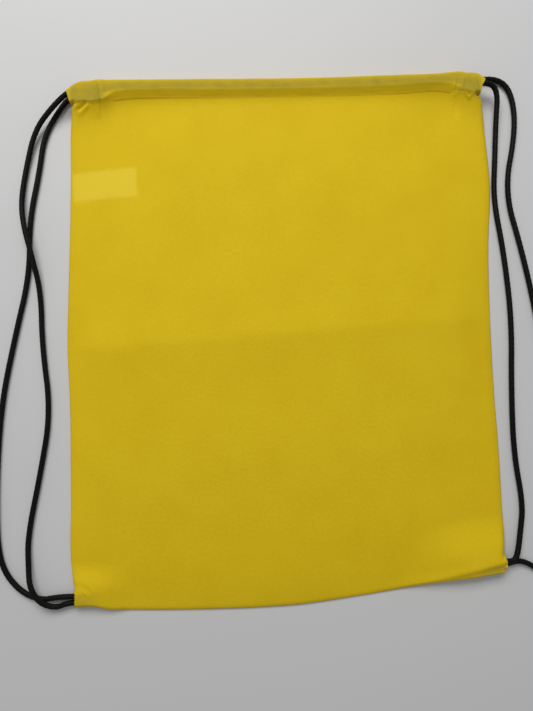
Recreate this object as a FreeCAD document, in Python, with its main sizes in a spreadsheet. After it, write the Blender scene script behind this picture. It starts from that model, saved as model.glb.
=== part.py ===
import FreeCAD, Part
import math
import os

import Sketcher
from FreeCAD import Placement, Rotation, Vector

# Drawstring backpack of non-woven polypropylene, lying flat on its back panel.
# Frame: +X to the right across the bag, +Y from the bottom fold towards the mouth, +Z up from
# the surface that it lies on. The origin is the middle of its base, under the bag without cords.

DIMENSIONS = {
    "half_width": 167.0,         # from the middle to each side edge
    "half_hem": 170.0,           # half the length of a hem, which stands proud of the sides
    "mouth_y": 210.0,            # upper edge of the hems
    "fold_y": -210.0,            # bottom fold, left of the bend
    "bend_x": -20.0,             # where the bottom fold starts to rise to the right
    "right_fold_y": -188.5,      # bottom fold at the right side edge
    "fabric": 0.5,               # one layer of the fabric
    "front_base": 11.0,          # underside of the front layer, above the surface
    "hem_band": 15.0,            # width of a hem, along Y
    "hem_rise": 5.6,             # thickness of a hem, round its cords
    "hem_round": 1.5,            # rounding of a hem's long edges
    "turn_room": 12.0,           # length at each hem end that is open for a cord's return
    "seam": 1.0,                 # thickness of a side seam, two layers together
    "left_seam_low": -194.0,     # lower end of the left side seam, above its corner tab
    "right_seam_low": -174.0,    # lower end of the right side seam
    "tab_length": 12.0,
    "tab_band": 15.0,
    "tab_rise": 5.8,
    "tab_depth": 8.0,            # how far the cord ends go into a tab
    "left_tab_y": -203.2,
    "right_tab_y": -183.6,
    "left_tab_pitch": 6.6,       # between the two cord ends in the left tab
    "right_tab_pitch": 4.8,
    "clearance": 0.1,            # between pieces that lie on each other
    "cord": 4.2,                 # diameter of the braided cord
    "bore": 4.9,                 # diameter of the room for a cord end in a tab
    "upper_lane": 205.5,         # the two places of a cord across a channel
    "lower_lane": 199.5,
    "return_x": 166.3,           # how far out a cord turns back to the other channel
    "label_length": 48.0,
    "label_width": 26.0,
    "label_y": 125.0,            # middle of the label
    "thread": 0.5,
    "stitch_inset": 5.0,         # from the side edges to the ends of a stitch line
}

# Names of expressions that several sub-parts share.
HEM_LOW = "Sizes.mouth_y - Sizes.hem_band"
FRONT_FACE = "Sizes.front_base + Sizes.fabric"
TAB_BASE = "Sizes.fabric + Sizes.clearance"
TAB_MIDDLE = f"{TAB_BASE} + Sizes.tab_rise / 2"

# Free stretches of the two cords, by hand, each from a hem end down to a corner tab.
LEFT_OUTER = [
    (-184.5, 193.5, 11.2), (-198.5, 170.0, 5.0), (-207.0, 139.0, 2.1), (-210.5, 112.0, 3.2),
    (-205.5, 91.0, 7.6), (-198.0, 67.0, 7.6), (-192.6, 38.0, 2.1), (-191.5, -6.0, 2.1),
    (-184.6, -58.0, 2.1), (-193.0, -108.0, 2.1), (-202.5, -155.0, 2.1), (-202.3, -179.0, 3.6),
    (-200.0, -192.0, 7.4), (-193.0, -204.5, 7.2), (-181.0, -210.8, 3.6),
]
LEFT_INNER = [
    (-179.5, 189.5, 2.3), (-190.5, 166.0, 2.1), (-194.2, 136.0, 2.1), (-202.0, 97.0, 2.1),
    (-201.8, 52.0, 2.1), (-212.6, 5.0, 2.1), (-223.6, -50.0, 2.1), (-226.9, -104.0, 2.1),
    (-226.9, -150.0, 2.1), (-222.8, -178.0, 2.1), (-208.8, -196.0, 2.1), (-192.0, -203.0, 2.2),
    (-179.5, -199.9, 3.4),
]
RIGHT_INNER = [
    (180.7, 190.7, 10.4), (179.8, 168.0, 4.2), (176.8, 139.0, 2.1), (174.0, 106.0, 2.1),
    (180.4, 62.0, 2.1), (184.2, 8.0, 2.1), (181.2, -48.0, 2.1), (180.6, -98.0, 2.1),
    (186.0, -138.0, 2.1), (183.8, -160.0, 2.1), (180.6, -174.4, 2.8), (172.4, -181.2, 3.5),
]
RIGHT_OUTER = [
    (183.0, 208.0, 2.7), (193.6, 193.0, 2.1), (194.8, 162.0, 2.1), (183.4, 113.0, 2.1),
    (194.4, 66.0, 2.1), (202.4, 22.0, 2.1), (209.0, -28.0, 2.1), (215.0, -80.0, 2.1),
    (216.6, -130.0, 2.1), (213.0, -162.0, 2.1), (203.0, -182.0, 2.1), (190.0, -190.0, 2.4),
    (178.6, -186.0, 3.5),
]

doc = FreeCAD.newDocument("drawstring_backpack")
sheet = doc.addObject("Spreadsheet::Sheet", "Sizes")
for row, (alias, value) in enumerate(DIMENSIONS.items(), start=1):
    sheet.set(f"A{row}", alias)
    sheet.set(f"B{row}", str(value))
    sheet.setAlias(f"B{row}", alias)
doc.recompute()

subparts = []


def size(alias):
    return float(sheet.get(alias))


def keep(feature, label):
    """Takes the feature as a finished sub-part under this name."""
    feature.Label = label
    subparts.append(feature)
    return feature


def place(feature, x="0", y="0", z="0"):
    """Binds where the feature stands to the sheet."""
    for axis, expression in zip("xyz", (x, y, z)):
        feature.setExpression(f"Placement.Base.{axis}", expression)


def new_sketch(body, name, role):
    """A sketch on one of the body's own origin planes."""
    sketch = body.newObject("Sketcher::SketchObject", name)
    plane = next(p for p in body.Origin.OriginFeatures if p.Role == role)
    sketch.AttachmentSupport = [(plane, "")]
    sketch.MapMode = "FlatFace"
    return sketch


def outline(sketch, corners):
    """A closed outline of straight edges through corners, each a pair of expressions."""
    count = len(corners)
    angles = [2 * math.pi * k / count for k in range(count)]
    ring = [Vector(100 * math.cos(a), 100 * math.sin(a), 0) for a in angles]
    first = sketch.GeometryCount
    for k in range(count):
        sketch.addGeometry(Part.LineSegment(ring[k], ring[(k + 1) % count]), False)
    for k in range(count):
        following = first + (k + 1) % count
        sketch.addConstraint(Sketcher.Constraint("Coincident", first + k, 2, following, 1))
    for k, corner in enumerate(corners):
        for direction, expression in zip(("DistanceX", "DistanceY"), corner):
            value = ring[k].x if direction == "DistanceX" else ring[k].y
            rule = Sketcher.Constraint(direction, -1, 1, first + k, 1, value)
            index = sketch.addConstraint(rule)
            sketch.setExpression(f"Constraints[{index}]", expression)


def rectangle(sketch, low_x, high_x, low_y, high_y):
    outline(sketch, [(low_x, low_y), (high_x, low_y), (high_x, high_y), (low_x, high_y)])


def pad(body, sketch, length, both_ways=False):
    feature = body.newObject("PartDesign::Pad", "Pad")
    feature.Profile = sketch
    feature.setExpression("Length", length)
    feature.Midplane = both_ways
    body.Tip = feature
    doc.recompute()
    return feature


def box(name, length, width, height):
    feature = doc.addObject("Part::Box", name)
    for side, expression in zip(("Length", "Width", "Height"), (length, width, height)):
        feature.setExpression(side, expression)
    return feature


# ---- The two large panels and the fold that joins them ----

PANEL_CORNERS = [
    ("-Sizes.half_width", "Sizes.fold_y"),
    ("Sizes.bend_x", "Sizes.fold_y"),
    ("Sizes.half_width", "Sizes.right_fold_y"),
    ("Sizes.half_width", HEM_LOW),
    ("-Sizes.half_width", HEM_LOW),
]


def make_panel(label, base):
    body = doc.addObject("PartDesign::Body", label)
    sketch = new_sketch(body, f"{label}_outline", "XY_Plane")
    outline(sketch, PANEL_CORNERS)
    pad(body, sketch, "Sizes.fabric")
    place(body, z=base)
    return keep(body, label)


def make_fold():
    """The folded bottom edge, a low wall between the two corner tabs."""
    inset = "(Sizes.half_width - Sizes.tab_length)"
    slope = "(Sizes.right_fold_y - Sizes.fold_y) / (Sizes.half_width - Sizes.bend_x)"
    right_y = f"Sizes.fold_y + ({inset} - Sizes.bend_x) * {slope}"
    body = doc.addObject("PartDesign::Body", "bottom_fold")
    sketch = new_sketch(body, "fold_outline", "XY_Plane")
    outline(sketch, [
        (f"-{inset}", "Sizes.fold_y"),
        ("Sizes.bend_x", "Sizes.fold_y"),
        (inset, right_y),
        (inset, f"{right_y} + Sizes.seam"),
        ("Sizes.bend_x", "Sizes.fold_y + Sizes.seam"),
        (f"-{inset}", "Sizes.fold_y + Sizes.seam"),
    ])
    pad(body, sketch, "Sizes.front_base - Sizes.fabric")
    place(body, z="Sizes.fabric")
    return keep(body, "bottom_fold")


def make_seam(label, side, low):
    wall = box(label, "Sizes.seam", f"{HEM_LOW} - {low}", "Sizes.front_base - Sizes.fabric")
    edge = "-Sizes.half_width" if side < 0 else "Sizes.half_width - Sizes.seam"
    place(wall, x=edge, y=low, z="Sizes.fabric")
    return keep(wall, label)


# ---- The two hems, flat tubes that the cords run through ----

def make_hem(label, base, notch_low, notch_high):
    """A hem whose wall towards the other hem is open for turn_room at each end."""
    body = doc.addObject("PartDesign::Body", label)
    section = new_sketch(body, f"{label}_section", "YZ_Plane")
    rectangle(section, "0", "Sizes.hem_band", "0", "Sizes.hem_rise")
    solid = pad(body, section, "2 * Sizes.half_hem", both_ways=True)
    long_edges = [
        f"Edge{number}" for number, edge in enumerate(solid.Shape.Edges, start=1)
        if edge.Length > size("half_hem")
    ]
    rounding = body.newObject("PartDesign::Fillet", "Rounding")
    rounding.Base = (solid, long_edges)
    rounding.setExpression("Radius", "Sizes.hem_round")
    body.Tip = rounding
    channel = new_sketch(body, f"{label}_channel", "YZ_Plane")
    rectangle(
        channel, "Sizes.fabric", "Sizes.hem_band - Sizes.fabric",
        "Sizes.fabric", "Sizes.hem_rise - Sizes.fabric",
    )
    hollow = body.newObject("PartDesign::Pocket", "Channel")
    hollow.Profile = channel
    hollow.Midplane = True
    hollow.setExpression("Length", "2 * Sizes.half_hem + 2 * Sizes.seam")
    body.Tip = hollow
    doc.recompute()
    for side in (-1, 1):
        turn = new_sketch(body, f"{label}_turn", "YZ_Plane")
        rectangle(turn, "Sizes.fabric", "Sizes.hem_band - Sizes.fabric", notch_low, notch_high)
        turn.setExpression(
            "AttachmentOffset.Base.z", f"{side} * (Sizes.half_hem - Sizes.turn_room / 2)"
        )
        opening = body.newObject("PartDesign::Pocket", "Turn")
        opening.Profile = turn
        opening.Midplane = True
        opening.setExpression("Length", "Sizes.turn_room")
        body.Tip = opening
        doc.recompute()
    place(body, y=HEM_LOW, z=base)
    return keep(body, label)


# ---- Corner tabs, label and threads ----

def make_tab(label, side, middle_y, pitch):
    """A sewn sleeve at a bottom corner, with a blind hole for each of two cord ends."""
    block = box(f"{label}_block", "Sizes.tab_length", "Sizes.tab_band", "Sizes.tab_rise")
    outer_face = "-Sizes.half_hem" if side < 0 else "Sizes.half_hem - Sizes.tab_length"
    place(block, x=outer_face, y=f"{middle_y} - Sizes.tab_band / 2", z=TAB_BASE)
    holes = []
    for end in (-1, 1):
        hole = doc.addObject("Part::Cylinder", f"{label}_hole")
        hole.setExpression("Radius", "Sizes.bore / 2")
        hole.setExpression("Height", "Sizes.tab_depth")
        hole.Placement = Placement(Vector(), Rotation(Vector(0, 1, 0), 90))
        start = "-Sizes.half_hem" if side < 0 else "Sizes.half_hem - Sizes.tab_depth"
        place(hole, x=start, y=f"{middle_y} + {end} * {pitch} / 2", z=TAB_MIDDLE)
        holes.append(hole)
    both = doc.addObject("Part::MultiFuse", f"{label}_holes")
    both.Shapes = holes
    sleeve = doc.addObject("Part::Cut", label)
    sleeve.Base = block
    sleeve.Tool = both
    return keep(sleeve, label)


def make_label():
    flap = box("side_label", "Sizes.label_length", "Sizes.label_width", "Sizes.fabric")
    place(
        flap, x="-Sizes.half_width + Sizes.seam + Sizes.clearance",
        y="Sizes.label_y - Sizes.label_width / 2", z="Sizes.fabric + Sizes.clearance",
    )
    return keep(flap, "side_label")


def make_thread(label, z):
    """One line of stitching along a hem's lower edge, as a single run of thread."""
    thread = doc.addObject("Part::Cylinder", label)
    thread.setExpression("Radius", "Sizes.thread / 2")
    thread.setExpression("Height", "2 * (Sizes.half_width - Sizes.stitch_inset)")
    thread.Placement = Placement(Vector(), Rotation(Vector(0, 1, 0), 90))
    place(thread, x="Sizes.stitch_inset - Sizes.half_width", y=f"{HEM_LOW} - Sizes.thread", z=z)
    return keep(thread, label)


# ---- Cords ----

def rounded_wire(points):
    """Straight runs through points, with a tangent arc at each inner point, and its length."""
    edges = []
    here = points[0]
    length = 0.0
    for before, corner, after in zip(points, points[1:], points[2:]):
        back = before - corner
        ahead = after - corner
        half_turn = (math.pi - back.getAngle(ahead)) / 2
        setback = 0.45 * min(back.Length, ahead.Length)
        radius = setback / math.tan(half_turn)
        back.normalize()
        ahead.normalize()
        start = corner + back * setback
        end = corner + ahead * setback
        inward = back + ahead
        inward.normalize()
        middle = corner + inward * (radius / math.cos(half_turn) - radius)
        edges.append(Part.LineSegment(here, start).toShape())
        edges.append(Part.Arc(start, middle, end).toShape())
        length += (start - here).Length + radius * 2 * half_turn
        print(f"  at {corner.x:.0f},{corner.y:.0f}: turn {math.degrees(2 * half_turn):.0f}"
              f" degrees, radius {radius:.1f}, next run {(after - corner).Length:.0f}")
        here = end
    edges.append(Part.LineSegment(here, points[-1]).toShape())
    length += (points[-1] - here).Length
    return Part.Wire(edges), length


def make_cord(label, points):
    print(label)
    wire, length = rounded_wire([Vector(*point) for point in points])
    radius = size("cord") / 2
    start = wire.Vertexes[0].Point
    direction = Vector(*points[1]) - Vector(*points[0])
    circle = Part.Wire(Part.makeCircle(radius, start, direction))
    tube = wire.makePipeShell([circle], True, True)
    expected = math.pi * radius ** 2 * length
    print(f"  length {length:.0f} mm, volume {tube.Volume:.0f}, section x length {expected:.0f}")
    feature = doc.addObject("Part::Feature", label)
    feature.Shape = tube
    feature.Placement = Placement()
    return keep(feature, label)


def tab_end(side, tab, end):
    """The inner end of a cord and the point where it enters its tab."""
    y = size(f"{tab}_tab_y") + end * size(f"{tab}_tab_pitch") / 2
    z = size("fabric") + size("clearance") + size("tab_rise") / 2
    inner = (side * (size("half_hem") - size("tab_depth")), y, z)
    mouth = (side * (size("half_hem") + size("fabric")), y, z)
    return inner, mouth


def make_left_cord():
    """Left tab, outer stretch, front channel, return at the right, back channel, inner stretch."""
    front_z = size("front_base") + size("hem_rise") / 2
    back_z = size("hem_rise") / 2
    exit_x = -size("half_hem") - 1.0
    turn_x = size("return_x")
    outer_end, outer_mouth = tab_end(-1, "left", -1)
    inner_end, inner_mouth = tab_end(-1, "left", 1)
    channel = [
        (exit_x, size("upper_lane"), front_z), (turn_x, size("upper_lane"), front_z),
        (turn_x, size("lower_lane"), back_z), (exit_x, size("lower_lane"), back_z),
    ]
    outer = [outer_end, outer_mouth] + LEFT_OUTER[::-1]
    inner = LEFT_INNER + [inner_mouth, inner_end]
    return make_cord("left_drawcord", outer + channel + inner)


def make_right_cord():
    """Right tab, inner stretch, front channel, return at the left, back channel, outer stretch."""
    front_z = size("front_base") + size("hem_rise") / 2
    back_z = size("hem_rise") / 2
    front_exit_x = size("half_hem") + 1.0
    back_exit_x = size("half_hem") - size("turn_room")
    turn_x = -size("return_x")
    inner_end, _ = tab_end(1, "right", 1)
    outer_end, _ = tab_end(1, "right", -1)
    channel = [
        (front_exit_x, size("lower_lane"), front_z), (turn_x, size("lower_lane"), front_z),
        (turn_x, size("upper_lane"), back_z), (back_exit_x, size("upper_lane"), back_z),
    ]
    inner = [inner_end] + RIGHT_INNER[::-1]
    outer = RIGHT_OUTER + [outer_end]
    return make_cord("right_drawcord", inner + channel + outer)


make_panel("back_panel", "0")
make_panel("front_panel", "Sizes.front_base")
make_fold()
make_seam("left_side_seam", -1, "Sizes.left_seam_low")
make_seam("right_side_seam", 1, "Sizes.right_seam_low")
make_hem("back_hem", "0", "Sizes.hem_rise / 2", "Sizes.hem_rise + Sizes.seam")
make_hem("front_hem", "Sizes.front_base", "-Sizes.seam", "Sizes.hem_rise / 2")
make_tab("left_corner_tab", -1, "Sizes.left_tab_y", "Sizes.left_tab_pitch")
make_tab("right_corner_tab", 1, "Sizes.right_tab_y", "Sizes.right_tab_pitch")
make_label()
make_thread("front_hem_stitching", f"{FRONT_FACE} + Sizes.thread / 2 + Sizes.clearance")
make_thread("back_hem_stitching", "Sizes.fabric + Sizes.thread / 2 + Sizes.clearance")
make_left_cord()
make_right_cord()

doc.recompute()
for item in doc.Objects:
    if "Invalid" in item.State or "Error" in item.State:
        raise RuntimeError(f"{item.Label} did not build: {item.State}")
os.makedirs("parts", exist_ok=True)
for part in subparts:
    if part.Shape.isNull() or not part.Shape.isValid():
        raise RuntimeError(f"{part.Label} has no valid shape")
    part.Shape.exportStep(f"parts/{part.Label}.step")
    limits = part.Shape.BoundBox
    print(f"{part.Label}: {part.Shape.Volume:.0f} mm3, "
          f"x {limits.XMin:.1f}..{limits.XMax:.1f}, y {limits.YMin:.1f}..{limits.YMax:.1f}, "
          f"z {limits.ZMin:.2f}..{limits.ZMax:.2f}, {len(part.Shape.Solids)} solid")
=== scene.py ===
import math

import bpy
import numpy as np
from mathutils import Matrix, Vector, noise


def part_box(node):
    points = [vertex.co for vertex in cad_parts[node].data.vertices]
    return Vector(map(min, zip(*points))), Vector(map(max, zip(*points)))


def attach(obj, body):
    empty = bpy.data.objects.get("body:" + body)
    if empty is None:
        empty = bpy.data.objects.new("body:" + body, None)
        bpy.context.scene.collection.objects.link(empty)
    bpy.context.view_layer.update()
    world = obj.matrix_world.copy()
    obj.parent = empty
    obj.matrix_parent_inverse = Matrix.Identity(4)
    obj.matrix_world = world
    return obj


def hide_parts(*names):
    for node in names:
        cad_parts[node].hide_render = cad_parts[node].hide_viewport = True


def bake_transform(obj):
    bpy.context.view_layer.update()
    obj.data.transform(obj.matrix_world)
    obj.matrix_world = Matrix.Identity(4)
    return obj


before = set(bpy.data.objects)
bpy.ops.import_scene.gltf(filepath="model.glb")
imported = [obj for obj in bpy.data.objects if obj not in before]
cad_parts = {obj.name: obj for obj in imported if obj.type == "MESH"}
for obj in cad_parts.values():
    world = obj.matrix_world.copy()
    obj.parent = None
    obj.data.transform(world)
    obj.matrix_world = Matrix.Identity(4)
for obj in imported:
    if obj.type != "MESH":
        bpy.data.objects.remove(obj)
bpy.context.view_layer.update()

LABEL_LOW, LABEL_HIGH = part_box("side_label")

CORD_DIAMETER = 0.0042
CORD_RADIUS = CORD_DIAMETER / 2
FRONT_LANE_Z = 0.0121
BACK_LANE_Z = 0.0028
LANE_GAP = 0.0043
BACK_LONGER = 0.0030
RETURN_X = 0.1618
# The upper of the two lanes through the front hem. The lower lane is one cord further down,
# and the back hem's lanes lie further out, as its cloth does.
UPPER_LANE = [
    (-0.1480, 0.2026), (-0.1300, 0.2032), (-0.1100, 0.2029), (-0.0613, 0.2023),
    (0.0191, 0.2013), (0.0996, 0.2022), (0.1240, 0.2028), (0.1480, 0.2032),
]


def gather(piece):
    """Bakes the piece's placement into its mesh."""
    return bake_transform(piece)


# ---- Camera ----

def make_camera():
    """Nearly straight down, a little from the bag's bottom end, with a phone's wide lens."""
    data = bpy.data.cameras.new("camera")
    data.lens = 27.0
    camera = bpy.data.objects.new("camera", data)
    camera.location = (-0.0132, -0.0418, 0.4266)
    camera.rotation_euler = (math.radians(3.34), 0, math.radians(-1.25))
    bpy.context.collection.objects.link(camera)
    bpy.context.scene.camera = camera


# ---- Cords ----

def lane(shift, height):
    """The points of a lane through a hem, from the left end to the right end."""
    return [(x, y + shift, height) for x, y in UPPER_LANE]


# How far apart the braid's rings are, and how far it is held clear of the table.
RING_GAP = 0.0008
CORD_LIFT = 0.00006
SAME_PLACE = 1e-7

# Each strand outside the hems, from the hem's end to the bottom corner.
LEFT_OUTER = [
    (-0.1800, 0.1875, 0.0098), (-0.1968, 0.1700, 0.0050), (-0.2050, 0.1390, 0.0021),
    (-0.2085, 0.1120, 0.0032), (-0.2045, 0.0910, 0.0076), (-0.1980, 0.0670, 0.0076),
    (-0.1926, 0.0380, 0.0021), (-0.1915, -0.0060, 0.0021), (-0.1846, -0.0580, 0.0021),
    (-0.1930, -0.1080, 0.0021), (-0.2025, -0.1550, 0.0021), (-0.2010, -0.1790, 0.0036),
    (-0.1985, -0.1915, 0.0074), (-0.1915, -0.2035, 0.0072), (-0.1800, -0.2092, 0.0036),
]
LEFT_INNER = [
    (-0.1775, 0.1885, 0.0023), (-0.1905, 0.1660, 0.0021), (-0.1942, 0.1360, 0.0021),
    (-0.2020, 0.0970, 0.0021), (-0.2018, 0.0520, 0.0021), (-0.2126, 0.0050, 0.0021),
    (-0.2236, -0.0500, 0.0021), (-0.2269, -0.1040, 0.0021), (-0.2269, -0.1500, 0.0021),
    (-0.2228, -0.1780, 0.0021), (-0.2088, -0.1960, 0.0021), (-0.1925, -0.2035, 0.0022),
    (-0.1795, -0.2012, 0.0032),
]
RIGHT_INNER = [
    (0.1788, 0.1958, 0.0098), (0.1780, 0.1680, 0.0042), (0.1768, 0.1390, 0.0021),
    (0.1740, 0.1060, 0.0021), (0.1804, 0.0620, 0.0021), (0.1842, 0.0080, 0.0021),
    (0.1812, -0.0480, 0.0021), (0.1806, -0.0980, 0.0021), (0.1860, -0.1380, 0.0021),
    (0.1828, -0.1590, 0.0023), (0.1794, -0.1740, 0.0042), (0.1762, -0.1804, 0.0053),
    (0.1700, -0.1808, 0.0056),
]
RIGHT_OUTER = [
    (0.1830, 0.2065, 0.0027), (0.1936, 0.1930, 0.0021), (0.1948, 0.1620, 0.0021),
    (0.1834, 0.1130, 0.0021), (0.1944, 0.0660, 0.0021), (0.2024, 0.0220, 0.0021),
    (0.2090, -0.0280, 0.0021), (0.2150, -0.0800, 0.0021), (0.2166, -0.1300, 0.0021),
    (0.2146, -0.1640, 0.0021), (0.2090, -0.1840, 0.0021), (0.1985, -0.1915, 0.0021),
    (0.1890, -0.1840, 0.0021), (0.1800, -0.1811, 0.0023), (0.1710, -0.1837, 0.0027),
]
LEFT_TAB_OUTER = [(-0.1620, -0.2052, 0.0035), (-0.1705, -0.2054, 0.0035)]
LEFT_TAB_INNER = [(-0.1705, -0.2007, 0.0035), (-0.1620, -0.2007, 0.0035)]
LEFT_CHANNELS = (
    [(-0.1655, 0.1990, FRONT_LANE_Z)]
    + lane(0, FRONT_LANE_Z)
    + [(RETURN_X, 0.2034, FRONT_LANE_Z), (RETURN_X, 0.1994, BACK_LANE_Z)]
    + lane(BACK_LONGER - LANE_GAP, BACK_LANE_Z)[::-1]
    + [(-0.1560, 0.1993, BACK_LANE_Z), (-0.1685, 0.1986, BACK_LANE_Z)]
)
RIGHT_CHANNELS = (
    [(0.1640, 0.1986, FRONT_LANE_Z)]
    + lane(-LANE_GAP, FRONT_LANE_Z)[::-1]
    + [(-RETURN_X, 0.1938, FRONT_LANE_Z), (-RETURN_X, 0.2048, BACK_LANE_Z)]
    + lane(BACK_LONGER, BACK_LANE_Z)
    + [(0.1600, 0.2055, BACK_LANE_Z)]
)
LEFT_ROUTE = (
    LEFT_TAB_OUTER + LEFT_OUTER[::-1] + LEFT_CHANNELS + LEFT_INNER + LEFT_TAB_INNER
)
RIGHT_ROUTE = (
    [(0.1600, -0.1809, 0.0056)] + RIGHT_INNER[::-1] + RIGHT_CHANNELS + RIGHT_OUTER
    + [(0.1600, -0.1838, 0.0027)]
)


def spline_line(name, points):
    """The smooth line of a NURBS curve with these control points, as an array of points."""
    curve = bpy.data.curves.new(name, "CURVE")
    curve.dimensions = "3D"
    spline = curve.splines.new("NURBS")
    spline.points.add(len(points) - 1)
    for target, point in zip(spline.points, points):
        target.co = (*point, 1.0)
    spline.order_u = 3
    spline.use_endpoint_u = True
    spline.resolution_u = 40
    holder = bpy.data.objects.new(name, curve)
    bpy.context.collection.objects.link(holder)
    bpy.context.view_layer.update()
    mesh = bpy.data.meshes.new_from_object(holder)
    line = np.array([v.co for v in mesh.vertices])
    bpy.data.objects.remove(holder)
    bpy.data.curves.remove(curve)
    bpy.data.meshes.remove(mesh)
    return line


def evenly(line, step):
    """The line with its points the same distance apart."""
    gaps = np.linalg.norm(np.diff(line, axis=0), axis=1)
    line = line[np.concatenate([[True], gaps > SAME_PLACE])]
    along = np.concatenate([[0], np.cumsum(np.linalg.norm(np.diff(line, axis=0), axis=1))])
    at = np.linspace(0, along[-1], int(round(along[-1] / step)) + 1)
    return np.stack([np.interp(at, along, line[:, k]) for k in range(3)], axis=1), at


def frames_along(line):
    """Two unit vectors across the line at each of its points, with no twist between them."""
    tangent = np.gradient(line, axis=0)
    tangent /= np.linalg.norm(tangent, axis=1)[:, None]
    side = np.zeros_like(line)
    first = np.cross(tangent[0], (0, 0, 1))
    side[0] = first / np.linalg.norm(first)
    for k in range(1, len(line)):
        carried = side[k - 1] - tangent[k] * (side[k - 1] @ tangent[k])
        side[k] = carried / np.linalg.norm(carried)
    return side, np.cross(tangent, side)


def new_piece(name, vertices, faces, smooth=True):
    mesh = bpy.data.meshes.new(name)
    mesh.from_pydata([tuple(v) for v in vertices], [], faces)
    mesh.update()
    piece = bpy.data.objects.new(name, mesh)
    bpy.context.collection.objects.link(piece)
    if smooth:
        mesh.shade_smooth()
    return piece


def braided_tube(name, line, along):
    """A closed tube round the line whose surface has the crossing strands of a braid."""
    segments = 32
    strands = 8
    pitch = 0.016
    relief = 0.00018
    proud, groove = 0.25 * relief, 0.8 * relief
    side, up = frames_along(line)
    angle = np.linspace(0, 2 * math.pi, segments, endpoint=False)
    phase = 2 * math.pi * along[:, None] / pitch
    right_lay = np.cos(strands / 2 * (angle[None, :] + phase))
    left_lay = np.cos(strands / 2 * (angle[None, :] - phase))
    over = 0.5 + 0.5 * np.cos(strands * angle[None, :])
    crown = np.maximum(right_lay * over, left_lay * (1 - over))
    radius = CORD_RADIUS + proud - groove * (1 - crown)
    ring = (
        side[:, None, :] * np.cos(angle)[None, :, None]
        + up[:, None, :] * np.sin(angle)[None, :, None]
    )
    vertices = (line[:, None, :] + ring * radius[:, :, None]).reshape(-1, 3)
    count = len(line)
    faces = []
    for k in range(count - 1):
        for j in range(segments):
            following = (j + 1) % segments
            faces.append((
                k * segments + j, k * segments + following,
                (k + 1) * segments + following, (k + 1) * segments + j,
            ))
    faces.append(tuple(range(segments))[::-1])
    faces.append(tuple(range((count - 1) * segments, count * segments)))
    return new_piece(name, vertices, faces)


def make_cord(name, node, route):
    line, along = evenly(spline_line(f"{name}_route", route), RING_GAP)
    line[:, 2] += CORD_LIFT
    cord = braided_tube(name, line, along)
    store_vectors(cord, "along_cord", [v.co for v in cord.data.vertices])
    cord.data.materials.append(cord_material())
    gather(cord)
    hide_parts(node)
    return cord


# ---- Cloth ----

# The cloth's thickness, the cut sheet's width, the width between the side seams, the length
# of a panel from hem to fold, and where the side edges lie on the whole.
CLOTH = 0.00045
SEWN_WIDTH = 0.338
PANEL_LENGTH = 0.405
EDGE_X = 0.168
# Heights: the back layer, the front hem's turned-in flap, each hem's stitch line and top,
# and the side edges.
BACK_Z = 0.0003
FRONT_FLAP_Z = 0.0096
FRONT_JOIN_Z = 0.01115
FRONT_TOP_Z = 0.01470
BACK_TOP_Z = 0.00530
BACK_JOIN_Z = 0.00082
EDGE_Z = 0.0008
HEM_RADIUS = (FRONT_TOP_Z - FRONT_FLAP_Z) / 2
HEM_ROUND = 0.86
TURN_ROOM = 0.0135
# Where each end of the hem is gathered: from no gathers to full ones.
LEFT_GATHERS = (-0.128, -0.139)
RIGHT_GATHERS = (0.138, 0.150)
# How far up from the stitch line the hem takes to rise over the cords, and how much less
# it takes at each gathered end.
HEM_REACH = 0.0043
LEFT_TIGHTER = 0.0031
RIGHT_TIGHTER = 0.0020
HEM_FULLNESS = 1.05
GATHER_LIFT = 0.0020
# How the front layer lies: the air under it, the corner sleeves under it, the rolled ridge,
# the crease across its middle and its slow waves.
LAYER_GAP = 0.0004
UNDER_FRONT = 0.0009
AIR = 0.0070
AIR_REACH_SIDE = 0.042
AIR_REACH_BOTTOM = 0.045
TAB_LIFT = 0.0052
RIGHT_TAB_MORE = 1.45
RIDGE_LIFT = 0.0010
RIDGE_DROP = 0.0016
CREASE_LIFT = 0.0027
SWELL = 0.0007
EDGE_ROUND = 0.006
INSIDE_REACH = 0.03

# Places along each edge of the bag and how far out the edge lies there.
LEFT_EDGE = [
    (-0.2093, -0.1637), (-0.2060, -0.1635), (-0.1990, -0.1636), (-0.1955, -0.1650),
    (-0.1900, -0.1668), (-0.1820, -0.1680), (-0.1274, -0.1688), (-0.0490, -0.1697),
    (-0.0050, -0.1716), (0.0311, -0.1709), (0.0900, -0.1694), (0.1296, -0.1688), (0.1714, -0.1682),
    (0.1800, -0.1672), (0.1880, -0.1660),
]
RIGHT_EDGE = [
    (-0.1896, 0.1668), (-0.1860, 0.1667), (-0.1800, 0.1667), (-0.1760, 0.1682),
    (-0.1695, 0.1693), (-0.1348, 0.1696), (-0.0900, 0.1690), (-0.0564, 0.1678),
    (0.0000, 0.1672), (0.0645, 0.1684), (0.1221, 0.1720), (0.1640, 0.1692),
    (0.1750, 0.1682), (0.1821, 0.1671), (0.1872, 0.1657), (0.1910, 0.1646),
]
BOTTOM_EDGE = [
    (-0.1660, -0.2090), (-0.1480, -0.2093), (-0.1387, -0.2116), (-0.1231, -0.2123),
    (-0.0687, -0.2132), (-0.0300, -0.2129), (0.0092, -0.2112), (0.0480, -0.2066),
    (0.0874, -0.2010), (0.1188, -0.1963), (0.1388, -0.1938), (0.1514, -0.1920),
    (0.1705, -0.1896),
]
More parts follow.
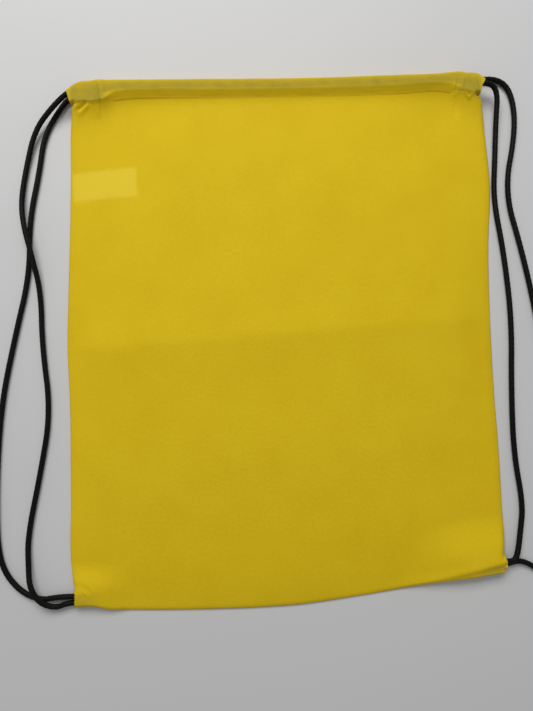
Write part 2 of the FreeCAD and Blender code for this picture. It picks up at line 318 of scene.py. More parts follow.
MOUTH_EDGE = [
    (-0.1690, 0.1980), (-0.1656, 0.2004), (-0.1624, 0.2030), (-0.1576, 0.2053),
    (-0.1495, 0.2059), (-0.1447, 0.2066), (-0.1335, 0.2062), (-0.1176, 0.2059),
    (-0.0613, 0.2052), (0.0191, 0.2042), (0.0996, 0.2052), (0.1317, 0.2058),
    (0.1398, 0.2066), (0.1470, 0.2070), (0.1526, 0.2060), (0.1574, 0.2059),
    (0.1622, 0.2046), (0.1653, 0.2022), (0.1680, 0.1996),
]
HEM_LINE = [
    (-0.1700, 0.1850), (-0.1640, 0.1860), (-0.1583, 0.1878), (-0.1446, 0.1876),
    (-0.1398, 0.1884), (-0.1325, 0.1910), (-0.1230, 0.1924), (-0.1019, 0.1928),
    (-0.0617, 0.1920), (0.0189, 0.1911), (0.0995, 0.1922), (0.1318, 0.1932),
    (0.1400, 0.1922), (0.1479, 0.1900), (0.1559, 0.1877), (0.1622, 0.1856),
    (0.1690, 0.1838),
]
LEFT_RIM = [(0.0, -0.1648), (1.0, -0.1683)]
RIGHT_RIM = [(0.0, 0.1624), (0.2, 0.1628), (0.44, 0.1636), (0.75, 0.1660), (1.0, 0.1671)]
# How far above the bottom fold the rolled ridge of the right corner runs.
RIDGE_LINE = [
    (0.0500, 0.0030), (0.1170, 0.0042), (0.1374, 0.0070), (0.1521, 0.0085), (0.1700, 0.0105),
]
CREASE_LINE = [(-0.1707, -0.0097), (-0.0647, -0.0049), (0.0377, 0.0024), (0.1640, 0.0083)]

# Small folds: from, to, half width, height. A negative height is a valley.
FOLDS = [
    ((-0.1595, 0.1832), (-0.1518, 0.1888), 0.0011, -0.0015),
    ((-0.1600, 0.1798), (-0.1500, 0.1870), 0.0014, 0.0010),
    ((-0.1645, 0.1834), (-0.1580, 0.1866), 0.0011, 0.0006),
    ((0.1500, 0.1902), (0.1548, 0.1852), 0.0009, 0.0008),
    ((0.1568, 0.1890), (0.1538, 0.1852), 0.0009, 0.0007),
    ((0.1445, 0.1890), (0.1450, 0.1730), 0.0030, -0.0008),
    ((-0.1640, -0.1910), (-0.1507, -0.1965), 0.0016, -0.0011),
    ((-0.1580, -0.1975), (-0.1555, -0.2012), 0.0010, -0.0008),
]
# Pleats: from, to, how far the cloth climbs to the pleat's edge, and the edge's height.
# The cloth climbs from the left and drops within PLEAT_DROP on the right of the edge.
PLEAT_DROP = (-0.0003, 0.0011)
PLEATS = [
    ((-0.1441, 0.2056), (-0.1410, 0.1880), 0.0024, 0.0016),
    ((-0.1437, 0.1955), (-0.1447, 0.1885), 0.0010, 0.0007),
    ((-0.1382, 0.2070), (-0.1366, 0.1960), 0.0016, 0.0007),
    ((-0.1427, 0.1895), (-0.1427, 0.1780), 0.0040, 0.0008),
    ((0.1578, 0.2020), (0.1616, 0.1890), 0.0018, 0.0016),
    ((0.1491, 0.2020), (0.1490, 0.1930), 0.0014, 0.0008),
    ((0.1426, 0.2015), (0.1425, 0.1925), 0.0014, 0.0008),
]


def through(points, at):
    """A smooth line through (place, value) points, read at the given places."""
    place, value = np.array(points).T
    slope = np.gradient(value, place)
    k = np.clip(np.searchsorted(place, at) - 1, 0, len(place) - 2)
    gap = place[k + 1] - place[k]
    t = np.clip((at - place[k]) / gap, 0, 1)
    ends = value[k] * (1 + 2 * t) * (1 - t) ** 2 + value[k + 1] * t * t * (3 - 2 * t)
    return ends + gap * (slope[k] * t * (1 - t) ** 2 + slope[k + 1] * t * t * (t - 1))


def soft_step(low, high, at):
    t = np.clip((at - low) / (high - low), 0, 1)
    return t * t * (3 - 2 * t)


def graded(length, fine, coarse, growth, border=0.0):
    """Distances along a length, close together near both of its ends and across a border."""
    steps = []
    while sum(steps) < length / 2:
        steps.append(fine if sum(steps) < border else min(coarse, steps[-1] * growth if steps else fine))
    both = np.array(steps + steps[::-1])
    return np.concatenate([[0], np.cumsum(both)]) * length / both.sum()


def quarter_round(distance, reach):
    t = np.clip(distance / reach, 0, 1)
    return np.sqrt(1 - (1 - t) ** 2)


def fold_height(x, y):
    """What the small folds add to the surface at each point."""
    total = np.zeros_like(x)
    for (x0, y0), (x1, y1), width, height in FOLDS:
        dx, dy = x1 - x0, y1 - y0
        t = np.clip(((x - x0) * dx + (y - y0) * dy) / (dx * dx + dy * dy), 0, 1)
        apart = np.hypot(x - x0 - t * dx, y - y0 - t * dy)
        total += height * np.exp(-((apart / width) ** 2)) * (4 * t * (1 - t)) ** 0.5
    for (x0, y0), (x1, y1), climb, height in PLEATS:
        dx, dy = x1 - x0, y1 - y0
        t = np.clip(((x - x0) * dx + (y - y0) * dy) / (dx * dx + dy * dy), 0, 1)
        past = ((y - y0) * dx - (x - x0) * dy) / math.hypot(dx, dy)
        drop = 1 - soft_step(*PLEAT_DROP, past)
        total += height * np.exp(-np.maximum(-past, 0) / climb) * drop * (4 * t * (1 - t)) ** 0.5
    return total


def drift(x, y, scale, seed):
    """Smooth noise between about -1 and 1."""
    points = zip(np.ravel(x) * scale, np.ravel(y) * scale)
    values = [noise.noise((a, b, seed)) for a, b in points]
    return np.array(values).reshape(np.shape(x))


def front_height(x, y):
    """Height of the front layer between the hem and the bottom fold."""
    left = x - through(LEFT_EDGE, y)
    right = through(RIGHT_EDGE, y) - x
    inside = np.minimum(left, right)
    below = y - through(BOTTOM_EDGE, x)
    above = through(HEM_LINE, x) - y
    left_tab = (1 - soft_step(-0.197, -0.176, y)) * (1 - soft_step(-0.152, -0.118, x))
    right_tab = (1 - soft_step(0.012, 0.046, below)) * soft_step(0.080, 0.152, x)
    roll = soft_step(0.050, 0.150, x)
    crown = LAYER_GAP + AIR * (
        (1 - np.exp(-left / AIR_REACH_SIDE)) * (1 - np.exp(-right / AIR_REACH_SIDE))
        * (1 - np.exp(-below / AIR_REACH_BOTTOM))
    )
    body = crown + UNDER_FRONT + TAB_LIFT * np.maximum(left_tab, RIGHT_TAB_MORE * right_tab)
    from_ridge = below - through(RIDGE_LINE, x)
    width = np.where(from_ridge > 0, 0.0042, 0.0020)
    body += RIDGE_LIFT * roll * np.exp(-((from_ridge / width) ** 2))
    body -= RIDGE_DROP * roll * soft_step(0.0, 0.0075, -from_ridge)
    crease = np.hypot(y - through(CREASE_LINE, x), 0.003)
    body += CREASE_LIFT * np.exp(-crease / 0.028) * soft_step(0.0, INSIDE_REACH, inside)
    body += SWELL * drift(x, y, 14, 3.0) * soft_step(0.0, INSIDE_REACH, inside)
    join = np.exp(-above / (0.0043 + 0.0150 * np.exp(-inside / 0.022)))
    body = body * (1 - join) + (join_height(x) - EDGE_Z) * join
    left_edge = np.maximum(
        quarter_round(left, EDGE_ROUND), 1 - soft_step(-0.1968, -0.1940, y)
    )
    right_edge = np.maximum(
        quarter_round(right, EDGE_ROUND), 1 - soft_step(0.0125, 0.0155, below)
    )
    bottom_edge = quarter_round(below, 0.0035 - 0.0012 * roll)
    height = EDGE_Z + left_edge * right_edge * bottom_edge * body
    return height + fold_height(x, y) * soft_step(0.0, 0.002, inside)


def join_height(x):
    """Height of the front hem's stitch line, which the gathers lift near both corners."""
    gathered = np.maximum(soft_step(*LEFT_GATHERS, x), soft_step(*RIGHT_GATHERS, x))
    return FRONT_JOIN_Z + GATHER_LIFT * gathered


def hem_rise(up, reach):
    """How far the cloth has risen over the cords, this far up from the stitch line."""
    return 1 - (1 - np.clip(up / reach, 0, 1)) ** HEM_FULLNESS


def over_cord(x, y, shift, height, z):
    """The height the cloth needs to clear the cord of a lane."""
    room = CORD_RADIUS + CLOTH
    apart = y - shift - through(UPPER_LANE, x)
    crown = height + np.sqrt(np.maximum(room ** 2 - apart ** 2, 0))
    return np.where(np.abs(apart) < room, np.maximum(z, crown), z)


def hem_sag(x, place):
    """Little waves along the gathered hem."""
    wave, ripple = 0.00012, 0.00015
    slow = wave * np.sin(x * 210 + 2.2 * np.sin(x * 61))
    return slow + ripple * drift(x, np.full_like(x, place * 0.01), 90, 7.0)


def cloth_rows():
    """The rows of the cloth from the front hem's raw edge round the bag to the back hem's.

    Each row is its part of the bag and a place in that part.
    """
    hem_steps = graded(1.0, fine=0.03, coarse=0.08, growth=1.15)
    turn_steps = np.linspace(0, 1, 9)
    front = graded(PANEL_LENGTH, fine=0.0005, coarse=0.0024, growth=1.13) / PANEL_LENGTH
    back = graded(PANEL_LENGTH, fine=0.0010, coarse=0.0060, growth=1.2) / PANEL_LENGTH
    raw_edge = -0.10
    rows = [("front_flap", n) for n in np.linspace(raw_edge, HEM_ROUND, 11)]
    rows += [("front_turn", n) for n in turn_steps[1:]]
    rows += [("front_outer", HEM_ROUND * (1 - n)) for n in hem_steps[1:-1]]
    rows += [("front", n) for n in front]
    rows += [("bottom", n) for n in (0.35, 0.75)]
    rows += [("back", n) for n in back]
    rows += [("back_outer", n) for n in np.linspace(0, HEM_ROUND, 7)[1:]]
    rows += [("back_turn", n) for n in turn_steps[1:]]
    rows += [("back_flap", HEM_ROUND * (1 - n)) for n in hem_steps[1:]]
    rows += [("back_flap", raw_edge)]
    return rows


def hem_y(x, place):
    """How far up the hem lies: place 0 is its stitch line and 1 is the mouth's edge."""
    low = through(HEM_LINE, x)
    return low + (through(MOUTH_EDGE, x) - low) * place


def row_line(part, n, across):
    """The points of one row of the cloth, across the bag."""
    if part in ("front", "back", "bottom"):
        down = n if part == "front" else 1 - n
        if part == "bottom":
            down = 1
        ends = []
        for edge, near_x in ((LEFT_EDGE, -EDGE_X), (RIGHT_EDGE, EDGE_X)):
            top, low = through(HEM_LINE, near_x), through(BOTTOM_EDGE, near_x)
            ends.append(through(edge, top + (low - top) * down))
        x = ends[0] + across * (ends[1] - ends[0])
        top, low = through(HEM_LINE, x), through(BOTTOM_EDGE, x)
        y = top + (low - top) * down
        if part == "back":
            y += BACK_LONGER * soft_step(0.90, 1.0, n)
        if part == "front":
            return x, y, front_height(x, y)
        if part == "bottom":
            return x, y + 0.0003 * n ** 2, np.full_like(x, EDGE_Z + (BACK_Z - EDGE_Z) * n)
        return x, y + 0.0005 * (n < 0.002), np.full_like(x, BACK_Z)
    place = n
    turn = None
    if part.endswith("turn"):
        turn = math.pi * (n - 0.5)
        place = HEM_ROUND + (1 - HEM_ROUND) * math.cos(turn)
    inner = {"front_flap": 1.0, "back_flap": 1.0}.get(part, 0.0)
    if part == "front_turn":
        inner = float(soft_step(0.75, 0.15, n))
    if part == "back_turn":
        inner = float(soft_step(0.25, 0.85, n))
    left = float(np.interp(place, *zip(*LEFT_RIM))) + TURN_ROOM * inner
    right = float(np.interp(place, *zip(*RIGHT_RIM))) - TURN_ROOM * inner
    x = left + across * (right - left)
    y = hem_y(x, place) + BACK_LONGER * part.startswith("back")
    if part == "front_flap":
        z = FRONT_FLAP_Z + 0.0010 * float(soft_step(0.22, 0.05, place)) + 0 * x
    elif part == "front_turn":
        z = FRONT_FLAP_Z + HEM_RADIUS + HEM_RADIUS * math.sin(turn) + 0 * x
        z = z + soft_step(0.4, 1.0, n) * (hem_sag(x, place) + fold_height(x, y))
    elif part == "front_outer":
        reach = HEM_REACH - LEFT_TIGHTER * soft_step(*LEFT_GATHERS, x)
        reach = reach - RIGHT_TIGHTER * soft_step(*RIGHT_GATHERS, x)
        z = join_height(x) + (FRONT_TOP_Z - join_height(x)) * hem_rise(y - hem_y(x, 0), reach)
        z = z + soft_step(0.0, 0.12, place) * hem_sag(x, place)
        z = over_cord(x, y, 0, FRONT_LANE_Z, z)
        z = over_cord(x, y, -LANE_GAP, FRONT_LANE_Z, z) + fold_height(x, y)
        edge = np.minimum(x - left, right - x)
        climb = np.maximum(quarter_round(edge, EDGE_ROUND), soft_step(0.0, 0.20, place))
        z = EDGE_Z + (z - EDGE_Z) * climb
    elif part == "back_outer":
        z = np.full_like(x, BACK_Z)
    elif part == "back_turn":
        half = (BACK_TOP_Z - BACK_Z) / 2
        z = BACK_Z + half + half * math.sin(turn) + 0 * x
    else:
        rise = hem_rise(y - BACK_LONGER - hem_y(x, 0), 0.0038)
        z = BACK_JOIN_Z + (BACK_TOP_Z - BACK_JOIN_Z) * rise
        z = over_cord(x, y, BACK_LONGER, BACK_LANE_Z, z)
        z = over_cord(x, y, BACK_LONGER - LANE_GAP, BACK_LANE_Z, z)
    return x, y, z


def make_cloth():
    """The whole bag: one cut sheet, hemmed at both ends, folded at the bottom and sewn at the sides."""
    across = graded(SEWN_WIDTH, fine=0.00048, coarse=0.0024, growth=1.06, border=0.030) / SEWN_WIDTH
    rows = cloth_rows()
    lines = [np.stack(row_line(part, n, across), axis=1) for part, n in rows]
    grid = np.array(lines)
    high, wide = grid.shape[:2]
    faces = [
        (k * wide + j, k * wide + j + 1, (k + 1) * wide + j + 1, (k + 1) * wide + j)
        for k in range(high - 1) for j in range(wide - 1)
    ]
    cloth = new_piece("bag_fabric", grid.reshape(-1, 3), faces)
    middle = grid[:, wide // 2]
    along = np.concatenate([[0], np.cumsum(np.linalg.norm(np.diff(middle, axis=0), axis=1))])
    flat = np.zeros_like(grid)
    flat[:, :, 0] = across * SEWN_WIDTH
    flat[:, :, 1] = along[:, None]
    store_vectors(cloth, "flat_cloth", flat.reshape(-1, 3))
    store_values(cloth, "show_through", show_through(rows, grid).ravel())
    store_values(cloth, "label_patch", label_patch(rows, grid).ravel())
    thicken(cloth, CLOTH)
    cloth.data.materials.append(fabric_material())
    gather(cloth)
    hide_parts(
        "front_panel", "back_panel", "bottom_fold", "front_hem", "back_hem",
        "left_side_seam", "right_side_seam",
    )
    return cloth


# How far towards the bottom of the bag, from HEM_LINE, each row of stitches runs.
# The back row is measured from the back layer's own line, BACK_LONGER further out.
FRONT_STITCH_INSET = 0.0003
BACK_STITCH_INSET = 0.0006


def make_stitches(name, node, line, height):
    """A row of lockstitches: each thread bows out of the cloth and dips back into it."""
    pitch, stitch, thread = 0.0030, 0.0023, 0.00019
    bow, dip = 0.00022, 0.00008
    margin = 0.006
    sides, rings = 8, 7
    count = int((line[-1][0] - line[0][0] - 2 * margin) / pitch)
    places = line[0][0] + margin + pitch * np.arange(count)
    vertices, faces = [], []
    for start in places:
        along = np.linspace(0, 1, rings)
        x = start + stitch * along
        y = through(line, x)
        z = height(x, y) + CLOTH / 2 + bow * np.sin(math.pi * along) - dip
        first = len(vertices)
        for k in range(rings):
            thickness = thread * (0.45 + 0.55 * math.sin(math.pi * (0.08 + 0.84 * along[k])))
            for j in range(sides):
                angle = 2 * math.pi * (j + 0.5 * (k % 2)) / sides
                vertices.append((
                    x[k], y[k] + thickness * math.cos(angle), z[k] + thickness * math.sin(angle)
                ))
        for k in range(rings - 1):
            for j in range(sides):
                low, high = first + k * sides, first + (k + 1) * sides
                following = (j + 1) % sides
                faces.append((low + j, low + following, high + following, high + j))
        faces.append(tuple(first + j for j in range(sides))[::-1])
        faces.append(tuple(first + (rings - 1) * sides + j for j in range(sides)))
    stitches = new_piece(name, vertices, faces)
    stitches.data.materials.append(thread_material())
    gather(stitches)
    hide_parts(node)
    return stitches


SLEEVE_CLOTH = 0.0004


def make_sleeve(name, node, body, outer_corner, inner_corner):
    """The short cloth sleeve in a bottom corner that holds the two ends of one cord."""
    around, rings = 72, 34
    squareness = 3.2
    fraying = 0.05
    outer_x, low_y, low_z = outer_corner
    inner_x, high_y, high_z = inner_corner
    middle_y, half_y = (low_y + high_y) / 2, (high_y - low_y) / 2
    middle_z, half_z = (low_z + high_z) / 2, (high_z - low_z) / 2
    vertices = []
    for k in range(rings):
        t = k / (rings - 1)
        flare = 1 + 0.03 * math.exp(-t / 0.06) - 0.03 * math.exp(-(((t - 0.22) / 0.09) ** 2))
        for j in range(around):
            angle = 2 * math.pi * j / around
            c, d = math.cos(angle), math.sin(angle)
            corner = (abs(c) ** squareness + abs(d) ** squareness) ** (-1 / squareness)
            dip = 0.00045 * math.exp(-((c * corner / 0.22) ** 2)) * max(d, 0)
            wrinkle = 0.00009 * noise.noise((k * 0.35, 5 * c, 5 * d)) * (1 - t)
            saw = 0.00022 * (abs((j * 0.5) % 2 - 1) - 0.5) * math.exp(-t / fraying)
            frayed = 0.00012 * noise.noise((j * 1.7, 3.0, 1.0)) * math.exp(-t / fraying)
            x = outer_x + (inner_x - outer_x) * t + math.copysign(1, outer_x) * (saw + frayed)
            y = middle_y + half_y * flare * c * corner
            z = middle_z + half_z * flare * d * corner - dip + wrinkle
            vertices.append((x, y, max(z, low_z)))
    faces = [
        (k * around + j, k * around + (j + 1) % around,
         (k + 1) * around + (j + 1) % around, (k + 1) * around + j)
        for k in range(rings - 1) for j in range(around)
    ]
    sleeve = new_piece(name, vertices, faces)
    flat = [(v[0], math.copysign(0.02, v[1] - middle_y) + v[2] - v[1], 0) for v in vertices]
    store_vectors(sleeve, "flat_cloth", flat)
    store_values(sleeve, "show_through", [0.05] * len(vertices))
    thicken(sleeve, SLEEVE_CLOTH)
    sleeve.data.materials.append(fabric_material())
    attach(sleeve, body)
    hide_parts(node)
    return sleeve


def make_label():
    """The care label: a woven tape folded double, its ends in the left side seam."""
    low, high = LABEL_LOW, LABEL_HIGH
    tape, ripple, hem = 0.00012, 0.00006, 0.0001
    fold, lower_z, upper_z = 0.00014, low.z + 0.00008, high.z - 0.00012
    fold_x = high.x - 0.0005
    xs = np.linspace(low.x, fold_x, 40)
    turn = np.linspace(-math.pi / 2, math.pi / 2, 9)[1:-1]
    half = (upper_z - lower_z) / 2
    profile = [(x, lower_z, 0.0) for x in xs]
    profile += [
        (fold_x + fold * 2 * math.cos(a), lower_z + half * (1 + math.sin(a)), 0.5) for a in turn
    ]
    profile += [(x, upper_z, 1.0) for x in xs[::-1]]
    ys = np.linspace(low.y + hem, high.y - hem, 28)
    vertices = [
        (x, y, z + upper * ripple * math.sin(x * 420 + y * 260))
        for x, z, upper in profile for y in ys
    ]
    wide = len(ys)
    faces = [
        (k * wide + j, (k + 1) * wide + j, (k + 1) * wide + j + 1, k * wide + j + 1)
        for k in range(len(profile) - 1) for j in range(wide - 1)
    ]
    label = new_piece("care_label", vertices, faces)
    thicken(label, tape)
    label.data.materials.append(label_material())
    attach(label, "label")
    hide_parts("side_label")
    return label


def thicken(piece, thickness):
    """Gives the sheet its thickness, half on each side."""
    shell = piece.modifiers.new("thickness", "SOLIDIFY")
    shell.thickness = thickness
    shell.offset = 0
    bpy.context.view_layer.objects.active = piece
    bpy.ops.object.modifier_apply(modifier=shell.name)
    piece.data.shade_smooth()


def show_through(rows, grid):
    """Where the black cords darken the cloth over them."""
    shade = np.zeros(grid.shape[:2])
    for k, (part, n) in enumerate(rows):
        x, y = grid[k, :, 0], grid[k, :, 1]
        patch = 0.5 + 0.5 * drift(x, y, 120, 5.0) + 0.25 * drift(x, y, 420, 9.0)
        if part in ("front_outer", "front_turn"):
            place = n
            if part == "front_turn":
                place = HEM_ROUND + (1 - HEM_ROUND) * math.sin(math.pi * n)
            ends = np.maximum(soft_step(-0.132, -0.142, x), soft_step(0.140, 0.152, x))
            middle_band = soft_step(0.16, 0.46, place) * (1 - ends)
            band = (middle_band + soft_step(0.0, 0.08, place) * ends) * soft_step(1.30, 0.50, place)
            rims = soft_step(-0.1690, -0.1620, x) * soft_step(0.1680, 0.1600, x)
            outside = part != "front_turn" or n > 0.5
            shade[k] = band * (0.70 + 0.40 * patch) * (0.25 + 0.75 * rims) * outside
        elif part == "front":
            left = soft_step(-0.1400, -0.1560, x) * soft_step(-0.1955, -0.2000, y)
            below = y - through(BOTTOM_EDGE, x)
            right = soft_step(0.1420, 0.1620, x) * soft_step(0.0105, 0.0065, below)
            shade[k] = 0.55 * np.maximum(left, right) * (0.5 + patch * 0.5)
    return shade


def label_patch(rows, grid):
    """Where the pale label inside lightens the cloth over it."""
    tilt = math.radians(3.3)
    blur = 0.0012
    middle = (LABEL_LOW + LABEL_HIGH) / 2 + Vector((0.0017, -0.0017, 0))
    shade = np.zeros(grid.shape[:2])
    for k, (part, n) in enumerate(rows):
        if part != "front":
            continue
        x, y = grid[k, :, 0] - middle.x, grid[k, :, 1] - middle.y
        along = x * math.cos(tilt) + y * math.sin(tilt)
        up = y * math.cos(tilt) - x * math.sin(tilt)
        half_long = (LABEL_HIGH.x - LABEL_LOW.x) / 2 + 0.0024
        half_high = (LABEL_HIGH.y - LABEL_LOW.y) / 2 - 0.0013
        inside = np.minimum(half_long - np.abs(along), half_high - np.abs(up))
        shade[k] = soft_step(-blur, blur, inside)
    return shade


def store_values(piece, name, values):
    attribute = piece.data.attributes.new(name, "FLOAT", "POINT")
    attribute.data.foreach_set("value", np.asarray(values, np.float32))


def store_vectors(piece, name, vectors):
    attribute = piece.data.attributes.new(name, "FLOAT_VECTOR", "POINT")
    attribute.data.foreach_set("vector", np.asarray(vectors, np.float32).ravel())


# ---- Materials ----

def new_material(name):
    material = bpy.data.materials.new(name)
    material.use_nodes = True
    nodes = material.node_tree.nodes
    return material, nodes, material.node_tree.links, nodes["Principled BSDF"]


def attribute_node(nodes, name):
    node = nodes.new("ShaderNodeAttribute")
    node.attribute_name = name
    return node


def noise_node(nodes, links, vector, scale, detail, roughness=0.5):
    node = nodes.new("ShaderNodeTexNoise")
    node.inputs["Scale"].default_value = scale
    node.inputs["Detail"].default_value = detail
    node.inputs["Roughness"].default_value = roughness
    links.new(vector, node.inputs["Vector"])
    return node.outputs["Fac"]


def ramp(nodes, links, factor, low, high):
    """A colour ramp between two places and two colours."""
    node = nodes.new("ShaderNodeValToRGB")
    for element, (place, colour) in zip(node.color_ramp.elements, (low, high)):
        element.position = place
        element.color = (*colour, 1)
    links.new(factor, node.inputs["Fac"])
    return node.outputs["Color"]


def grey(value):
    return (value, value, value)


def math_node(nodes, links, operation, first, second):
    node = nodes.new("ShaderNodeMath")
    node.operation = operation
    for socket, value in zip(node.inputs, (first, second)):
        if isinstance(value, (int, float)):
            socket.default_value = value
        else:
            links.new(value, socket)
    return node.outputs[0]


def mix_colour(nodes, links, factor, first, second, blend="MIX"):
    node = nodes.new("ShaderNodeMix")
    node.data_type = "RGBA"
    node.blend_type = blend
    for place, value in ((0, factor), (6, first), (7, second)):
        socket = node.inputs[place]
        if isinstance(value, (int, float)):
            socket.default_value = value
        elif isinstance(value, tuple):
            socket.default_value = (*value, 1)
        else:
            links.new(value, socket)
    return node.outputs[2]


def add_bump(nodes, links, shader, height, strength, distance):
    """Bumps the shader's surface by a height between 0 and 1."""
    bump = nodes.new("ShaderNodeBump")
    bump.inputs["Strength"].default_value = strength
    bump.inputs["Distance"].default_value = distance
    links.new(height, bump.inputs["Height"])
    links.new(bump.outputs["Normal"], shader.inputs["Normal"])


def emboss(nodes, links, vector, pitch):
    """The heat-pressed diamond grid of non-woven cloth."""
    turned = nodes.new("ShaderNodeMapping")
    turned.inputs["Rotation"].default_value = (0, 0, math.radians(45))
    links.new(vector, turned.inputs["Vector"])
    waves = []
    for direction in ("X", "Y"):
        wave = nodes.new("ShaderNodeTexWave")
        wave.bands_direction = direction
        wave.inputs["Scale"].default_value = 2 * math.pi / (20 * pitch)
        wave.inputs["Distortion"].default_value = 0.4
        links.new(turned.outputs["Vector"], wave.inputs["Vector"])
        waves.append(wave.outputs["Fac"])
    return math_node(nodes, links, "MULTIPLY", waves[0], waves[1])


def fabric_material():
    """Non-woven polypropylene: matt fibres pressed together with a fine diamond grid."""
    found = bpy.data.materials.get("nonwoven_yellow")
    if found:
        return found
    material, nodes, links, shader = new_material("nonwoven_yellow")
    flat = attribute_node(nodes, "flat_cloth").outputs["Vector"]
    cloudy = noise_node(nodes, links, flat, 26, 3)
    mottled = noise_node(nodes, links, flat, 420, 4, 0.6)
    fibres = noise_node(nodes, links, flat, 2600, 5, 0.65)
    grid = emboss(nodes, links, flat, 0.0013)
    deep, bright = (0.842, 0.581, 0.006), (0.886, 0.622, 0.009)
    over_cords, over_label = (0.395, 0.305, 0.026), (0.960, 0.740, 0.055)
    colour = ramp(nodes, links, cloudy, (0.3, deep), (0.7, bright))
    speckle = ramp(nodes, links, mottled, (0.25, grey(0.90)), (0.75, grey(1.0)))
    colour = mix_colour(nodes, links, 1.0, colour, speckle, "MULTIPLY")
    dots = ramp(nodes, links, grid, (0.0, grey(1.0)), (0.9, grey(0.93)))
    colour = mix_colour(nodes, links, 1.0, colour, dots, "MULTIPLY")
    shadowed = attribute_node(nodes, "show_through").outputs["Fac"]
    pressed = ramp(nodes, links, grid, (0.0, grey(0.86)), (0.8, grey(1.0)))
    shadowed = math_node(nodes, links, "MULTIPLY", shadowed, pressed)
    colour = mix_colour(nodes, links, shadowed, colour, over_cords)
    paler = attribute_node(nodes, "label_patch").outputs["Fac"]
    paler = math_node(nodes, links, "MULTIPLY", paler, 0.55)
    colour = mix_colour(nodes, links, paler, colour, over_label)
    links.new(colour, shader.inputs["Base Color"])
    rough = ramp(nodes, links, mottled, (0.2, grey(0.66)), (0.8, grey(0.82)))
    links.new(rough, shader.inputs["Roughness"])
    shader.inputs["Specular IOR Level"].default_value = 0.16
    shader.inputs["Sheen Weight"].default_value = 0.05
    shader.inputs["Sheen Roughness"].default_value = 0.45
    height = math_node(nodes, links, "MULTIPLY", grid, -0.6)
    height = math_node(nodes, links, "ADD", height, fibres)
    height = math_node(nodes, links, "ADD", height, mottled)
    add_bump(nodes, links, shader, height, 0.35, 0.0003)
    return material


def cord_material():
    """Black polyester braid: fine filaments with a soft sheen."""
    found = bpy.data.materials.get("black_braid")
    if found:
        return found
    material, nodes, links, shader = new_material("black_braid")
    place = attribute_node(nodes, "along_cord").outputs["Vector"]
    filaments = noise_node(nodes, links, place, 900, 4)
    worn = noise_node(nodes, links, place, 60, 3)
    dark, faded = (0.0026, 0.0022, 0.0018), (0.0048, 0.0042, 0.0034)
    colour = ramp(nodes, links, worn, (0.3, dark), (0.75, faded))
    links.new(colour, shader.inputs["Base Color"])
    rough = ramp(nodes, links, filaments, (0.2, grey(0.48)), (0.8, grey(0.70)))
    links.new(rough, shader.inputs["Roughness"])
    shader.inputs["Specular IOR Level"].default_value = 0.15
    add_bump(nodes, links, shader, filaments, 0.4, 0.0001)
    return material


def thread_material():
    """Yellow polyester thread with its two twisted plies, and painted shade in the grooves between them.
    """
    found = bpy.data.materials.get("yellow_thread")
    if found:
        return found
    material, nodes, links, shader = new_material("yellow_thread")
    place = nodes.new("ShaderNodeTexCoord").outputs["Object"]
    plies = nodes.new("ShaderNodeTexWave")
    plies.inputs["Scale"].default_value = 700
    links.new(place, plies.inputs["Vector"])
    # The darker groove colour is painted shade in the recess between the plies; the ply colour is the
    # thread's own yellow.
    groove, ply = (0.700, 0.470, 0.010), (0.860, 0.610, 0.020)
    colour = ramp(nodes, links, plies.outputs["Fac"], (0.0, groove), (1.0, ply))
    links.new(colour, shader.inputs["Base Color"])
    shader.inputs["Roughness"].default_value = 0.5
    shader.inputs["Specular IOR Level"].default_value = 0.3
    add_bump(nodes, links, shader, plies.outputs["Fac"], 0.5, 0.00005)
    return material


def label_material():
    """White satin tape with a fine woven rib."""
    material, nodes, links, shader = new_material("label_tape")
    place = nodes.new("ShaderNodeTexCoord").outputs["Object"]
    ribs = nodes.new("ShaderNodeTexWave")
    ribs.inputs["Scale"].default_value = 900
    links.new(place, ribs.inputs["Vector"])
    blotches = noise_node(nodes, links, place, 160, 3)
    colour = ramp(nodes, links, blotches, (0.3, (0.80, 0.79, 0.75)), (0.7, (0.87, 0.865, 0.84)))
    links.new(colour, shader.inputs["Base Color"])
    rough = ramp(nodes, links, ribs.outputs["Fac"], (0.0, grey(0.42)), (1.0, grey(0.58)))
    links.new(rough, shader.inputs["Roughness"])
    add_bump(nodes, links, shader, ribs.outputs["Fac"], 0.4, 0.00005)
    return material


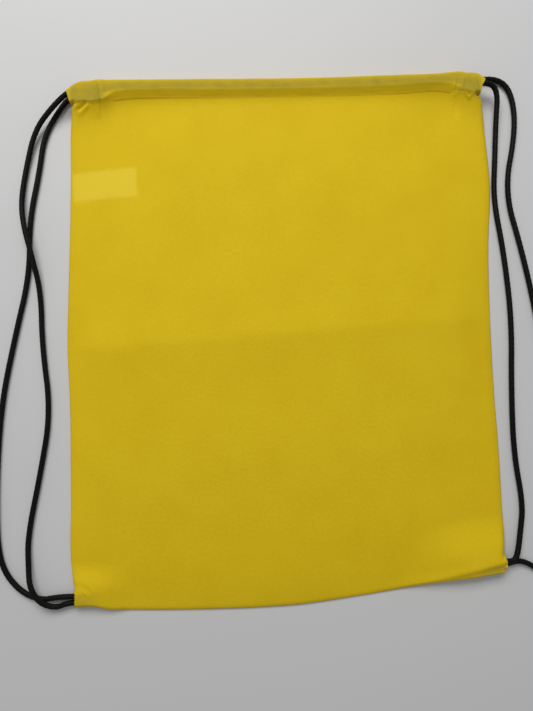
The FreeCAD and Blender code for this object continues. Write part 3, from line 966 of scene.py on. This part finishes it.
def floor_material():
    material, nodes, links, shader = new_material("pale_table")
    place = nodes.new("ShaderNodeTexCoord").outputs["Object"]
    faint = noise_node(nodes, links, place, 3, 2)
    colour = ramp(nodes, links, faint, (0.2, (0.690, 0.690, 0.693)), (0.8, (0.708, 0.706, 0.703)))
    links.new(colour, shader.inputs["Base Color"])
    shader.inputs["Roughness"].default_value = 0.55
    shader.inputs["Specular IOR Level"].default_value = 0.3
    return material


# ---- Table and light ----

def make_floor():
    size = 2.5
    corners = [(-size, -size, 0), (size, -size, 0), (size, size, 0), (-size, size, 0)]
    floor = new_piece("table_top", corners, [(0, 1, 2, 3)], smooth=False)
    floor.data.materials.append(floor_material())


def make_lights():
    """A wide soft window beyond the bag's mouth, and a dim even room."""
    window = bpy.data.lights.new("window", "AREA")
    window.shape = "RECTANGLE"
    window.size = 1.1
    window.size_y = 0.7
    window.energy = 13.6
    window.color = (1.0, 0.985, 0.965)
    holder = bpy.data.objects.new("window", window)
    holder.location = (-0.22, 0.94, 1.05)
    aim = Vector((0, 0.05, 0)) - holder.location
    holder.rotation_euler = aim.to_track_quat("-Z", "Y").to_euler()
    bpy.context.collection.objects.link(holder)
    world = bpy.data.worlds.new("room")
    world.use_nodes = True
    world.node_tree.nodes["Background"].inputs["Color"].default_value = (0.95, 0.97, 1.0, 1)
    world.node_tree.nodes["Background"].inputs["Strength"].default_value = 0.30
    bpy.context.scene.world = world
    bpy.context.scene.view_settings.view_transform = "Standard"


make_camera()
make_cord("drawcord_left", "left_drawcord", LEFT_ROUTE)
make_cord("drawcord_right", "right_drawcord", RIGHT_ROUTE)
make_cloth()
make_stitches(
    "front_hem_stitches", "front_hem_stitching",
    [(x, y - FRONT_STITCH_INSET) for x, y in HEM_LINE], front_height,
)
make_stitches(
    "back_hem_stitches", "back_hem_stitching",
    [(x, y + BACK_LONGER - BACK_STITCH_INSET) for x, y in HEM_LINE],
    lambda x, y: np.full_like(x, BACK_JOIN_Z),
)
make_sleeve(
    "corner_sleeve_left", "left_corner_tab", "root",
    (-0.1644, -0.2080, 0.00085), (-0.1532, -0.1978, 0.00620),
)
make_sleeve(
    "corner_sleeve_right", "right_corner_tab", "right_side",
    (0.1692, -0.1863, 0.00025), (0.1580, -0.1788, 0.00815),
)
make_label()
make_floor()
make_lights()
